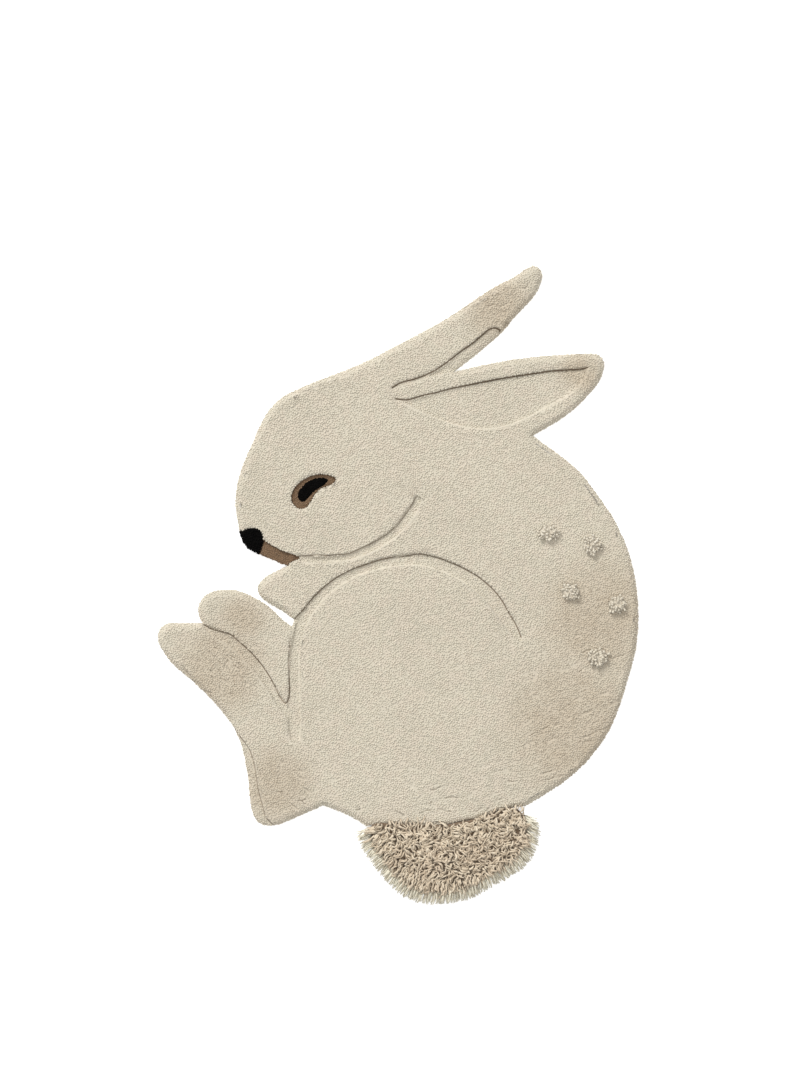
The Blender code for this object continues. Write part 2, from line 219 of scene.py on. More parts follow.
def short_edges(item, longest, rounds):
    """Splits each long edge above the underside in half, a few times, without changing the shape."""
    mesh = bmesh.new()
    mesh.from_mesh(item.data)
    for _ in range(rounds):
        mesh.normal_update()
        long_edges = [edge for edge in mesh.edges if edge.calc_length() > longest
                      and any(face.normal.z > -0.5 for face in edge.link_faces)]
        bmesh.ops.subdivide_edges(mesh, edges=long_edges, cuts=1)
        many_sided = [face for face in mesh.faces if len(face.verts) > 3]
        bmesh.ops.triangulate(mesh, faces=many_sided, quad_method="SHORT_EDGE", ngon_method="BEAUTY")
    mesh.to_mesh(item.data)
    mesh.free()
    return item


def even_faces(item, size):
    """Covers an object's shape with even small faces, flat again where it lies on the floor."""
    pick(item)
    remesh = item.modifiers.new("even", "REMESH")
    remesh.mode = "VOXEL"
    remesh.voxel_size = size
    bpy.ops.object.modifier_apply(modifier=remesh.name)
    for vertex in item.data.vertices:
        if vertex.co.z < size / 4:
            vertex.co.z = 0.0
    bpy.ops.object.shade_smooth()
    return item


def shaped(item, tree):
    """Runs a Geometry Nodes tree on an object and applies it."""
    pick(item)
    modifier = item.modifiers.new(tree.tree.name, "NODES")
    modifier.node_group = tree.tree
    bpy.ops.object.modifier_apply(modifier=modifier.name)
    return item


def triangles(item):
    return sum(len(face.vertices) - 2 for face in item.data.polygons)


def new_geometry_tree(name):
    """An empty Geometry Nodes tree, and the socket of the geometry that comes in."""
    group = bpy.data.node_groups.new(name, "GeometryNodeTree")
    group.interface.new_socket("Geometry", in_out="INPUT", socket_type="NodeSocketGeometry")
    group.interface.new_socket("Geometry", in_out="OUTPUT", socket_type="NodeSocketGeometry")
    tree = Tree(group)
    return tree, tree.make("NodeGroupInput")


def comes_out(tree, geometry):
    """Ends a Geometry Nodes tree."""
    end = tree.tree.nodes.new("NodeGroupOutput")
    tree.feed(end.inputs[0], geometry)


def stored(tree, geometry, name, value, domain="POINT"):
    """Keeps a number on the geometry under a name that a material can read."""
    return tree.make("GeometryNodeStoreNamedAttribute", {"data_type": "FLOAT", "domain": domain},
                     {"Geometry": geometry, "Name": name, "Value": value})


def drawn(item):
    """Adds a new object to the scene."""
    bpy.context.scene.collection.objects.link(item)
    return item


# %% [markdown]
# ## Where the shears cut
#
# After tufting, the maker runs small shears along the drawn lines and carves a channel. The pile that
# stays high leans over the cut, so from above each upper bank is a thin dark line, and each lower bank
# is a pale crest where the sides of the yarn ends show. The channels are carved into the mat, and the
# material adds painted shade along the cuts and a faint painted highlight on the crests. These lines are
# drawn here as curves, in millimetres. A curve is easier to move than cut vertices, and Geometry Nodes
# can measure the distance to it.

# %% The lines that the shears followed
EAR_CUTS = {
    "near_ear": [(-4, 351), (10, 349), (21, 350), (46, 357), (73, 363), (99, 370), (127, 376), (156, 382),
                 (193, 389), (229, 395), (257, 399), (285, 403), (313, 405), (350, 408), (356, 410)],
    "far_ear": [(-11, 372), (5, 381), (31, 388), (57, 398), (80, 411), (99, 425), (122, 443), (138, 454),
                (156, 469), (171, 481), (182, 484), (192, 480)],
}
DEEP_CUTS = {
    "haunch": [(-194, -62), (-175, -41), (-154, -16), (-126, 8), (-95, 27), (-59, 41), (-22, 52), (21, 57),
               (38, 60), (58, 57), (94, 46), (131, 29), (162, 8), (188, -18), (209, -52), (225, -81),
               (231, -97)],
    "foot": [(-364, -73), (-349, -81), (-329, -86), (-313, -92), (-301, -102), (-271, -130), (-251, -155),
             (-233, -184), (-217, -215), (-211, -220), (-206, -213), (-204, -198), (-204, -170)],
    "tail_border": [(238, -415), (207, -418), (188, -423), (157, -436), (125, -440), (91, -449),
                    (36, -452), (-1, -448), (-30, -447), (-58, -452)],
}
SOFT_CUTS = {
    "chin": [(-184, 56), (-167, 57), (-150, 58), (-133, 57), (-112, 59), (-97, 60), (-69, 71), (-41, 85),
             (-13, 104), (7, 125), (23, 148), (34, 167)],
    "chin_nick": [(34, 177), (38, 174), (42, 171)],
    "shin_left": [(-204, -170), (-205, -138), (-202, -98)],
    "heel": [(-315, -257), (-297, -282), (-283, -300), (-274, -319), (-266, -357), (-262, -383),
             (-255, -409), (-247, -435), (-235, -448)],
}
CRESTS = {
    "near_ear": [(12, 341), (47, 324), (88, 309), (133, 297), (184, 296), (234, 312), (279, 337),
                 (322, 360), (338, 372), (345, 388)],
    "chin": [(-150, 47), (-114, 47), (-80, 52), (-45, 65), (-10, 88), (16, 111), (36, 137), (41, 156)],
    "haunch": [(-170, -72), (-150, -36), (-120, -6), (-83, 17), (-46, 30), (-4, 37), (42, 39), (76, 30),
               (113, 13), (143, -9), (168, -33), (199, -73), (216, -104)],
    "foot": [(-363, -83), (-343, -96), (-325, -108), (-297, -132), (-262, -172), (-240, -205)],
    "shin": [(-185, -120), (-186, -170), (-184, -215), (-183, -275), (-184, -289), (-192, -296),
             (-206, -292)],
}


def partings(name, count, centre, reach, lean, lengths, seed):
    """Short strokes scattered in an oval, where the backing bends and the pile parts."""
    draw = random.Random(seed)
    strokes = {}
    for number in range(count):
        out, way = math.sqrt(draw.random()), draw.uniform(0, 2 * math.pi)
        x, y = centre[0] + out * reach[0] * math.cos(way), centre[1] + out * reach[1] * math.sin(way)
        turn, half = lean + draw.gauss(0, 0.3), draw.uniform(*lengths) / 2
        across, up, bow = half * math.cos(turn), half * math.sin(turn), draw.uniform(-0.2, 0.2)
        strokes[f"{name}_{number}"] = [(x - across, y - up), (x - up * bow, y + across * bow),
                                       (x + across, y + up)]
    return strokes


PARTINGS = {
    **partings("back", 64, (335, -240), (105, 170), 0.2, (8, 22), 1),
    **partings("near_foot", 24, (-345, -165), (60, 40), -0.9, (10, 22), 2),
    **partings("heel", 14, (-225, -380), (60, 60), -0.4, (8, 18), 3),
    **partings("far_ear", 8, (215, 545), (45, 45), 0.5, (6, 14), 4),
    **partings("belly", 30, (60, -380), (190, 55), 0.1, (8, 24), 5),
}


# %% Draw them as curves on the floor
def smooth_line(name, points, closed=False):
    """A curve on the floor that runs smoothly through points given in millimetres."""
    data = bpy.data.curves.new(name, "CURVE")
    data.dimensions = "3D"
    data.resolution_u = 6
    spline = data.splines.new("BEZIER")
    spline.bezier_points.add(len(points) - 1)
    spline.use_cyclic_u = closed
    for knot, (x, y) in zip(spline.bezier_points, points):
        knot.co = (x * MM, y * MM, 0.0)
        knot.handle_left_type = knot.handle_right_type = "AUTO"
    return drawn(bpy.data.objects.new(name, data))


def joined(items, name):
    """Several objects as one."""
    bpy.ops.object.select_all(action="DESELECT")
    for item in items:
        item.select_set(True)
    bpy.context.view_layer.objects.active = items[0]
    if len(items) > 1:
        bpy.ops.object.join()
    items[0].name = items[0].data.name = name
    return items[0]


LINES = {}
for group, lines in (("ear_cuts", EAR_CUTS), ("deep_cuts", DEEP_CUTS), ("soft_cuts", SOFT_CUTS),
                     ("crests", CRESTS), ("partings", PARTINGS)):
    LINES[group] = joined([smooth_line(f"{group}_{name}", line) for name, line in lines.items()], group)
    print(group, "has", len(lines), "lines")


def distance_to(tree, group):
    """Distance in the plane from each point to the nearest line of a group."""
    line = tree.make("GeometryNodeObjectInfo", {}, {"Object": LINES[group]}, output="Geometry")
    line = tree.make("GeometryNodeCurveToMesh", {}, {"Curve": line})
    flat = vector_maths(tree, "MULTIPLY", tree.make("GeometryNodeInputPosition"), (1.0, 1.0, 0.0))
    return tree.make("GeometryNodeProximity", {"target_element": "EDGES"},
                     {"Geometry": line, "Sample Position": flat}, output="Distance")


# %% [markdown]
# ## The mat under the yarn ends
#
# The solid's flat top has long thin triangles, which can't follow small bends. A voxel remesh would make
# them even, but it closes narrow notches such as the one under the paw, so long edges are split instead.
# The yarn ends stand on the mat, so the mat is drawn in by the height at which they stand out of it. Its
# top is a little uneven, as hand-tufted pile is. Faces are split again only where a line runs, and the
# underside is made one flat face again.

# %% Shape the mat
STANDS_OUT = 0.9 * MM
MAT_SWELL = 1.2 * MM
ABOVE_UNDERSIDE = (0.3 * MM, 2.5 * MM)
CUT_DEPTH = 4.0 * MM
CUT_BOTTOM = 0.3 * MM
CREST_HEIGHT = 0.6 * MM
CREST_BANK = (0.5 * MM, 2.4 * MM)
# The crests' tip share is raised by this much, so the material paints them lighter: a painted highlight.
CREST_PAINTED_HIGHLIGHT = 0.12
LONGEST_EDGE = 10.0 * MM
SPLITTING_ROUNDS = 4
SPLIT_NEARER_THAN = (4.5 * MM, 2.4 * MM)
# For each group of cuts: its share of the full depth, and how far from the line its banks reach.
CUTS = {"ear_cuts": (1.0, 2.3 * MM), "deep_cuts": (0.85, 2.0 * MM), "soft_cuts": (0.7, 1.8 * MM),
        "partings": (0.5, 1.5 * MM)}


def waves(tree, place):
    """The unevenness of the pile, about -0.5 to 0.5: long swells and short ones."""
    return (noise(tree, place, 34.0, 2.0) - 0.5) + (noise(tree, place, 150.0, 1.0) - 0.5) * 0.6


def uneven(item, drawn_in, swell, lines=False, tip=0.55):
    """Draws an object in along its normals, makes its top uneven, and cuts the lines into it."""
    tree, surface = new_geometry_tree(f"shape_{item.name}")
    place = tree.make("GeometryNodeInputPosition")
    above = between(axis_of(tree, place, "Z"), *ABOVE_UNDERSIDE)
    lift = above * (waves(tree, place) * swell - drawn_in)
    offset = vector_maths(tree, "SCALE", tree.make("GeometryNodeInputNormal"), lift)
    deep = tree.make("ShaderNodeValue")
    if lines:
        for group, (share, reach) in CUTS.items():
            # Near a line, `deep` carves the mat down, and the material also paints shade there.
            deep = deep.at_least((1.0 - between(distance_to(tree, group), CUT_BOTTOM, reach)) * share)
        crest = 1.0 - between(distance_to(tree, "crests"), *CREST_BANK)
        rise = above * (crest * CREST_HEIGHT - deep * CUT_DEPTH)
        offset = vector_maths(tree, "ADD", offset, tree.make("ShaderNodeCombineXYZ", {}, {"Z": rise}))
        # Painted highlight: crests get a higher tip share, so the material paints them lighter.
        tip = crest * CREST_PAINTED_HIGHLIGHT + tip
    shape = tree.make("GeometryNodeSetPosition", {}, {"Geometry": surface, "Offset": offset})
    # The stored `tip` share sets how much painted shade the material lays on this surface: a low share
    # paints it dark.
    for name, value in (("deep", deep), ("tip", tip), ("shade", 0.4)):
        shape = stored(tree, shape, name, value)
    comes_out(tree, shape)
    return shaped(item, tree)


def chosen_faces(item, wanted):
    """Leaves edit mode's selection at the faces that are wanted, and says how many there are."""
    bpy.ops.object.mode_set(mode="EDIT")
    bpy.ops.mesh.select_mode(type="FACE")
    bpy.ops.mesh.select_all(action="DESELECT")
    bpy.ops.object.mode_set(mode="OBJECT")
    chosen = [wanted(face) for face in item.data.polygons]
    item.data.polygons.foreach_set("select", chosen)
    bpy.ops.object.mode_set(mode="EDIT")
    return sum(chosen)


def split_near_lines(item, reach):
    """Splits the faces that a line runs through, so that its banks are crisp."""
    tree, surface = new_geometry_tree("mark_lines")
    nearest = distance_to(tree, "crests")
    for group in CUTS:
        nearest = nearest.at_most(distance_to(tree, group))
    comes_out(tree, stored(tree, surface, "from_line", nearest))
    shaped(item, tree)
    far = [value.value for value in item.data.attributes["from_line"].data]
    count = chosen_faces(item, lambda face: face.center.z > 3 * MM and reach >
                         sum(far[vertex] for vertex in face.vertices) / len(face.vertices))
    bpy.ops.mesh.subdivide(number_cuts=1)
    bpy.ops.object.mode_set(mode="OBJECT")
    item.data.attributes.remove(item.data.attributes["from_line"])
    print(item.name, "has", count, "faces split at the lines, and", triangles(item), "triangles")
    return item


def plain_underside(item):
    """Makes the flat underside one face again, cut into few triangles."""
    chosen_faces(item, lambda face: face.center.z < 0.01 * MM)
    bpy.ops.mesh.dissolve_faces()
    bpy.ops.mesh.quads_convert_to_tris(ngon_method="CLIP")
    bpy.ops.object.mode_set(mode="OBJECT")
    print(item.name, "has", triangles(item), "triangles with a plain underside")
    return item


mat = short_edges(copy_of("rug_body", "tufted_mat"), LONGEST_EDGE, SPLITTING_ROUNDS)
for reach in SPLIT_NEARER_THAN:
    split_near_lines(mat, reach)
uneven(mat, STANDS_OUT, MAT_SWELL, lines=True)
plain_underside(mat)

# %% [markdown]
# ## One yarn end
#
# A cut yarn end is a small blunt bud. Tens of thousands of them are needed, so it has five sides and
# a low tip. It is modelled once, and its `tip` attribute runs from 0 at the root to 1 at the top, for
# the material to paint shade in the gaps, darker towards the root.

# %% Model the yarn end
BUD_SIDES = 5
STEM_SHARE = 0.85


def with_tip(item, share_of):
    """Stores on each vertex how far along the yarn it is, from 0 at the root to 1 at the end."""
    tip = item.data.attributes.new("tip", "FLOAT", "POINT")
    shares = [min(1.0, max(0.0, share_of(vertex))) for vertex in item.data.vertices]
    tip.data.foreach_set("value", shares)
    return item


def bud(name, radius, length, dome=0.25):
    """A closed bud: a straight stem with a low dome on its upper end. Half of it is root."""
    stem = radius * STEM_SHARE
    bpy.ops.object.select_all(action="DESELECT")
    bpy.ops.mesh.primitive_cone_add(vertices=BUD_SIDES, radius1=stem, radius2=stem,
                                    depth=length * (1 - dome), end_fill_type="NGON")
    item = bpy.context.object
    item.name = item.data.name = name
    chosen_faces(item, lambda face: face.center.z > length * 0.3)
    bpy.ops.mesh.poke()
    bpy.ops.object.mode_set(mode="OBJECT")
    top = max(vertex.co.z for vertex in item.data.vertices)
    crown = min((v for v in item.data.vertices if v.co.z > top * 0.9), key=lambda v: v.co.xy.length)
    crown.co.z += length * dome
    bpy.ops.object.shade_smooth()
    return with_tip(item, lambda vertex: vertex.co.z / length + 0.5)


yarn_end = bud("yarn_end", 1.9 * MM, 3.0 * MM)
low_end = bud("low_end", 1.6 * MM, 2.6 * MM)
print("one yarn end has", triangles(yarn_end), "triangles")

# %% [markdown]
# ## Planting the pile
#
# The ends could be a particle system, but Geometry Nodes keep every step in one readable tree: scatter
# points that keep their distance, stand a bud on each, and make the result a mesh. On the flat top the buds
# stand nearly upright, and at the rounded edge they follow the surface. Each leans a little its own way,
# and a noise lifts or lowers groups of them. The same scatter is run once for each part of the rug and
# trimmed to that part, so the parts meet without a seam and none is heavy.

# %% Scatter yarn ends over a surface
CLEARANCE = {"ear_cuts": 2.1 * MM, "deep_cuts": 1.85 * MM, "soft_cuts": 1.7 * MM, "partings": 1.6 * MM,
             "crests": 1.5 * MM}
FINE_RELIEF = 0.4 * MM
ROUGH_RELIEF = 1.0 * MM
GRAIN_ANGLE = -0.3
GRAIN_SCALE = (110.0, 260.0, 150.0)
FLAT_ENOUGH = (0.7, 0.95)
UPRIGHT_PULL = 3.0
# Areas of ruffled pile; the material also makes them warmer and darker, partly as painted shade at the
# ears' far ends.
ROUGH_AREAS = [(190, 520, 75), (380, -60, 130), (330, -260, 150), (-330, -150, 95), (-290, -60, 50),
               (-230, -370, 80), (340, 400, 45)]


def random_number(tree, low, high, seed, kind="FLOAT"):
    """A random number for each point, or a whole number or a vector, as `kind` says."""
    return tree.make("FunctionNodeRandomValue", {"data_type": kind},
                     {"Min": low, "Max": high, "Seed": seed})


def near(tree, place, x, y, radius):
    """A share from 1 around a spot to 0 a little beyond a radius from it, all in millimetres."""
    flat = vector_maths(tree, "MULTIPLY", place, (1.0, 1.0, 0.0))
    apart = vector_maths(tree, "DISTANCE", flat, (x * MM, y * MM, 0.0), output="Value")
    return 1.0 - between(apart, radius * 0.3 * MM, radius * 1.2 * MM)


def roughness_at(tree, place):
    """A share from 0 to 1: how ruffled the pile is, and where the wool gets a warmer, darker colour that is
    partly painted shade.
    """
    rough = tree.make("ShaderNodeValue")
    for area in ROUGH_AREAS:
        rough = rough.at_least(near(tree, place, *area))
    return rough


def grain(tree, place):
    """A number about 0.5 that varies over a few millimetres, in strokes that rise to the right."""
    turned = tree.make("ShaderNodeVectorRotate", {"rotation_type": "Z_AXIS"},
                       {"Vector": place, "Angle": GRAIN_ANGLE})
    return noise(tree, vector_maths(tree, "MULTIPLY", turned, GRAIN_SCALE), 1.0, 2.0)


def scattered(tree, surface, spacing, allowed, seed):
    """Points on a surface that keep their distance. An output of the node gives the normals."""
    return tree.make("GeometryNodeDistributePointsOnFaces", {"distribute_method": "POISSON"},
                     {"Mesh": surface, "Distance Min": spacing, "Density Max": 2.6 / spacing**2,
                      "Density Factor": allowed, "Seed": seed}, output="Points")


def new_like(source, name):
    """A new object with a copy of the source's mesh, for a tree to replace."""
    item = source.copy()
    item.data = source.data.copy()
    item.name = item.data.name = name
    return drawn(item)


def planted(source, end, name, spacing, seed, lean, size=(0.8, 1.2), lowest=2.9 * MM, facing_from=-0.4,
            band=None, lines=False):
    """A new object with a yarn end at each scattered point of the source's surface."""
    item = new_like(source, name)
    tree, surface = new_geometry_tree(f"plant_{name}")
    place = tree.make("GeometryNodeInputPosition")
    height = axis_of(tree, place, "Z")
    facing = axis_of(tree, tree.make("GeometryNodeInputNormal"), "Z")
    allowed = between(height, lowest, lowest + 0.5 * MM) * between(facing, facing_from, facing_from + 0.3)
    scatter = scattered(tree, surface, spacing, allowed, seed)
    outward = scatter.other("Normal")
    upright = between(axis_of(tree, outward, "Z"), *FLAT_ENOUGH) * UPRIGHT_PULL
    upright = tree.make("ShaderNodeCombineXYZ", {}, {"Z": upright})
    normal = vector_maths(tree, "NORMALIZE", vector_maths(tree, "ADD", outward, upright), (0, 0, 0))
    relief = roughness_at(tree, place) * ROUGH_RELIEF + FINE_RELIEF
    rise = vector_maths(tree, "SCALE", normal, (grain(tree, place) - 0.5) * relief)
    points = tree.make("GeometryNodeSetPosition", {}, {"Geometry": scatter, "Offset": rise})
    leaning = random_number(tree, (-lean, -lean, -lean * 0.3), (lean, lean, lean * 0.3), seed + 1,
                            "FLOAT_VECTOR")
    turn = tree.make("FunctionNodeAlignRotationToVector", {"axis": "Z"},
                     {"Vector": vector_maths(tree, "ADD", normal, leaning)})
    spin = random_number(tree, (0, 0, 0), (0, 0, 2 * math.pi), seed + 2, "FLOAT_VECTOR")
    turn = tree.make("FunctionNodeRotateRotation", {"rotation_space": "LOCAL"},
                     {"Rotation": turn, "Rotate By": spin})
    shape = tree.make("GeometryNodeObjectInfo", {}, {"Object": end, "As Instance": True}, output="Geometry")
    ends = tree.make("GeometryNodeInstanceOnPoints", {},
                     {"Points": points, "Instance": shape, "Rotation": turn,
                      "Scale": random_number(tree, *size, seed + 3)})
    ends = stored(tree, ends, "shade", random_number(tree, 0.0, 1.0, seed + 4), "INSTANCE")
    outside = [height.maths("LESS_THAN", height, lowest)]
    if band is not None:
        y = axis_of(tree, place, "Y")
        outside += [y.maths("LESS_THAN", y, band[0]), y.maths("GREATER_THAN", y, band[1])]
    if lines:
        gaps = {group: distance_to(tree, group) for group in CLEARANCE}
        outside += [gap.maths("LESS_THAN", gap, CLEARANCE[group]) for group, gap in gaps.items()]
    for where in outside:
        ends = tree.make("GeometryNodeDeleteGeometry", {"domain": "INSTANCE"},
                         {"Geometry": ends, "Selection": where})
    comes_out(tree, tree.make("GeometryNodeRealizeInstances", {}, {"Geometry": ends}))
    shaped(item, tree)
    bpy.ops.object.shade_smooth()
    if "deep" in item.data.attributes:
        item.data.attributes.remove(item.data.attributes["deep"])
    print(name, "has", triangles(item), "triangles")
    return item


PILE_SPACING = 3.0 * MM
PILE_BANDS = {"pile_of_ears": (0.225, 1.0), "pile_of_face": (0.04, 0.225), "pile_of_back": (-0.172, 0.04),
              "pile_of_haunch": (-1.0, -0.172)}
pile = [planted(mat, yarn_end, name, PILE_SPACING, seed=3, lean=0.3, band=band, lines=True)
        for name, band in PILE_BANDS.items()]

# %% [markdown]
# ## Eye, nose and mouth
#
# These are tufted in other yarn and shorn lower than the cream pile. Each keeps its solid's form and gets
# smaller yarn ends of its own. The black yarn pushes a little over the brown, as it does on the rug.

# %% Plant the low areas
LOW_SPACING = 2.6 * MM
LOW_SWELL = 0.6 * MM


def low_area(node, name, lowest, drawn_in, size=(0.8, 1.2)):
    """A low area of other yarn: its solid drawn in a little, and its yarn ends, as one piece."""
    pad = uneven(finer(copy_of(node, name), levels=2), drawn_in, LOW_SWELL)
    ends = planted(pad, low_end, f"{name}_ends", LOW_SPACING, seed=21, lean=0.5, size=size, lowest=lowest,
                   facing_from=-0.2)
    return joined([pad, ends], name)


eye_rim = low_area("eye_surround", "eye_rim_yarn", 7.0 * MM, 0.4 * MM)
pupil = low_area("eye_pupil", "pupil_yarn", 7.0 * MM, -1.0 * MM)
nose = low_area("nose", "nose_yarn", 3.8 * MM, 0.2 * MM, size=(0.8, 1.7))
mouth = low_area("mouth_band", "mouth_yarn", 3.0 * MM, 0.3 * MM)

# %% [markdown]
# ## Longer yarn
#
# The five spots on the back and the tail are left uncut, so their yarn is long enough to bend. A strand
# is modelled as a short thick line: a curve with a square section, made a mesh. Inside the tail a strand
# arches and its end tucks in among the others. At the rim it lies outwards and thins to its end.

# %% Model the strands
def strand(name, path, thickness, taper):
    """A closed strand through points (x, z) in millimetres, thinner towards its end."""
    data = bpy.data.curves.new(name, "CURVE")
    data.dimensions = "3D"
    data.bevel_depth = thickness / 2
    data.bevel_resolution = 0
    data.resolution_u = 2
    data.use_fill_caps = True
    spline = data.splines.new("BEZIER")
    spline.bezier_points.add(len(path) - 1)
    for number, (knot, (x, z)) in enumerate(zip(spline.bezier_points, path)):
        knot.co = (x * MM, 0.0, z * MM)
        knot.handle_left_type = knot.handle_right_type = "AUTO"
        knot.radius = 1.0 - taper * (number / (len(path) - 1)) ** 2
    item = pick(drawn(bpy.data.objects.new(name, data)))
    bpy.ops.object.convert(target="MESH")
    item = bpy.context.object
    bpy.ops.object.mode_set(mode="EDIT")
    bpy.ops.mesh.select_all(action="SELECT")
    bpy.ops.mesh.remove_doubles(threshold=0.00001)
    bpy.ops.mesh.normals_make_consistent(inside=False)
    bpy.ops.object.mode_set(mode="OBJECT")
    bpy.ops.object.shade_smooth()
    length = math.hypot(path[-1][0], path[-1][1]) * MM
    return with_tip(item, lambda vertex: vertex.co.length / length)


MID_STRANDS = [strand("mid_strand_a", [(0, -3), (2, 5), (7, 9), (12, 6), (15, -1)], 3.7 * MM, 0.35),
               strand("mid_strand_b", [(0, -3), (1, 7), (5, 11), (10, 8), (12, 1)], 3.7 * MM, 0.35),
               strand("mid_strand_c", [(0, -3), (4, 3), (9, 6), (15, 3), (19, -3)], 3.6 * MM, 0.35)]
RIM_STRANDS = [strand("rim_strand_a", [(0, 0), (9, 2), (19, 2), (29, -1)], 3.6 * MM, 0.6),
               strand("rim_strand_b", [(0, 0), (9, 4), (18, 4), (28, 0)], 3.6 * MM, 0.6)]
TUFT_STRANDS = [strand("tuft_strand_a", [(0, -4), (1, 1), (4, 4)], 5.2 * MM, 0.1),
                strand("tuft_strand_b", [(0, -4), (0, 2), (2, 5)], 4.8 * MM, 0.1)]
print("one strand has", triangles(MID_STRANDS[0]), "triangles")


def kept_in(strands, name):
    """A collection of strands for Geometry Nodes to pick from."""
    box = bpy.data.collections.new(name)
    for item in strands:
        box.objects.link(item)
    return box


# %% [markdown]
# ## Combing the strands
#
# Long yarn lies outwards from a centre, both near it and at the rim, and every way in the ring between.
# Each strand bends towards its own +X, so turning it about the upright combs it. A last step bends each
# strand a little and keeps it off the floor.

# %% Scatter strands over a surface
STRAYS_FROM = (0.3, 0.48)
STRAYS_UNTIL = (0.72, 0.98)
OFF_FLOOR = 0.4 * MM
NO_LIMIT = -10.0


def combed(source, strands, name, spacing, seed, centre, reach, lowest, facing, wild, tilt, size,
           bend_by=14.0 * MM, away_from_mat=True):
    """A new object with strands on the source's surface, combed away from a centre.

    `facing` says which slopes get strands, and `wild` how far they stray in the ring and everywhere.
    """
    item = new_like(source, name)
    tree, surface = new_geometry_tree(f"comb_{name}")
    axes = tree.make("ShaderNodeSeparateXYZ", {}, {"Vector": tree.make("GeometryNodeInputPosition")})
    x, y, height = (axes.other(axis) for axis in "XYZ")
    normal = tree.make("ShaderNodeSeparateXYZ", {}, {"Vector": tree.make("GeometryNodeInputNormal")})
    ny, nz = normal.other("Y"), normal.other("Z")
    allowed = between(height, lowest, lowest + 1.0 * MM)
    allowed = allowed * nz.maths("GREATER_THAN", nz, facing[0]) * nz.maths("LESS_THAN", nz, facing[1])
    if away_from_mat:
        allowed = allowed * ny.maths("LESS_THAN", ny, 0.5)
    scatter = scattered(tree, surface, spacing, allowed, seed)
    away_x, away_y = x - centre[0] * MM, y - centre[1] * MM
    out = vector_maths(tree, "LENGTH", tree.make("ShaderNodeCombineXYZ", {}, {
        "X": away_x / (reach[0] * MM), "Y": away_y / (reach[1] * MM)}), (0, 0, 0), output="Value")
    stray = between(out, *STRAYS_FROM) * (1.0 - between(out, *STRAYS_UNTIL)) * wild[0] + wild[1]
    yaw = away_y.maths("ARCTAN2", away_y, away_x) + random_number(tree, -1.0, 1.0, seed + 1) * stray
    turn = tree.make("ShaderNodeCombineXYZ", {},
                     {"X": random_number(tree, -0.4, 0.4, seed + 2),
                      "Y": random_number(tree, *tilt, seed + 3), "Z": yaw})
    shapes = tree.make("GeometryNodeCollectionInfo", {},
                       {"Collection": kept_in(strands, f"strands_of_{name}"), "Separate Children": True,
                        "Reset Children": True})
    which = random_number(tree, 0, len(strands) - 1, seed + 5, "INT")
    locks = tree.make("GeometryNodeInstanceOnPoints", {},
                      {"Points": scatter, "Instance": shapes, "Pick Instance": True,
                       "Instance Index": which, "Rotation": turn,
                       "Scale": random_number(tree, *size, seed + 6)})
    locks = stored(tree, locks, "shade", random_number(tree, 0.0, 1.0, seed + 4), "INSTANCE")
    mesh = tree.make("GeometryNodeRealizeInstances", {}, {"Geometry": locks})
    along = tree.make("GeometryNodeInputNamedAttribute", {"data_type": "FLOAT"}, {"Name": "tip"})
    here = tree.make("GeometryNodeInputPosition")
    bend = vector_maths(tree, "SUBTRACT", noise(tree, here, 80.0, 1.0, output="Color"), (0.5, 0.5, 0.5))
    bent = vector_maths(tree, "ADD", here, vector_maths(tree, "SCALE", bend, along * bend_by))
    bent = vector_maths(tree, "MAXIMUM", bent, (NO_LIMIT, NO_LIMIT, OFF_FLOOR))
    comes_out(tree, tree.make("GeometryNodeSetPosition", {}, {"Geometry": mesh, "Position": bent}))
    shaped(item, tree)
    bpy.ops.object.shade_smooth()
    print(name, "has", triangles(item), "triangles")
    return item


# %% [markdown]
# ## The tail
#
# The tail is shag: a low cushion of backing and yarn roots that hardly shows, under some two thousand
# strands. The cushion is painted dark as shade, for the gaps between the strands. The cushion is a closed
# curve, filled and made even by a voxel remesh. It reaches a little under the edge of the mat.

# %% Shape and comb the tail
TAIL_EDGE = [(230, -423), (239, -441), (240, -461), (236, -480), (226, -498), (200, -519), (167, -538),
             (128, -560), (92, -568), (57, -570), (27, -560), (4, -541), (-18, -514), (-38, -487),
             (-50, -466), (-52, -452), (0, -447), (55, -449), (115, -443), (170, -429), (207, -416)]
TAIL_CENTRE = (110, -375)
TAIL_REACH = (170, 190)
CUSHION_HEIGHT = 13.0 * MM
CUSHION_FACES = 3.2 * MM
CUSHION_SWELL = 5.0 * MM


def filled_curve(name, points, height, voxel):
    """A closed slab on the floor with a given outline, in even small faces."""
    slab = smooth_line(name, points, closed=True)
    slab.data.dimensions = "2D"
    slab.data.fill_mode = "BOTH"
    slab.data.extrude = height / 2
    pick(slab)
    bpy.ops.object.convert(target="MESH")
    slab = bpy.context.object
    bpy.ops.transform.translate(value=(0, 0, height / 2))
    bpy.ops.object.transform_apply(location=True, rotation=True, scale=True)
    return even_faces(slab, voxel)


cushion = filled_curve("tail_cushion", TAIL_EDGE, CUSHION_HEIGHT, CUSHION_FACES)
# A tip share of 0.05 makes the material paint the cushion almost wholly in shade.
uneven(cushion, drawn_in=0.0, swell=CUSHION_SWELL, tip=0.05)
shag = combed(cushion, MID_STRANDS, "tail_strands", spacing=3.2 * MM, seed=41, centre=TAIL_CENTRE,
              reach=TAIL_REACH, lowest=6.0 * MM, facing=(0.3, 1.1), wild=(2.8, 0.35), tilt=(-0.3, 0.3),
              size=(0.75, 1.1))
fringe = combed(cushion, RIM_STRANDS, "tail_rim_strands", spacing=2.3 * MM, seed=61, centre=TAIL_CENTRE,
                reach=TAIL_REACH, lowest=2.0 * MM, facing=(-0.5, 0.8), wild=(0.0, 0.2), tilt=(-0.3, 0.15),
                size=(0.88, 1.05), bend_by=7.0 * MM)

# %% [markdown]
# ## Spots on the back
#
# Each spot is a pinch of uncut yarn ends that fan out over the pile. They stand on the solid's own form.

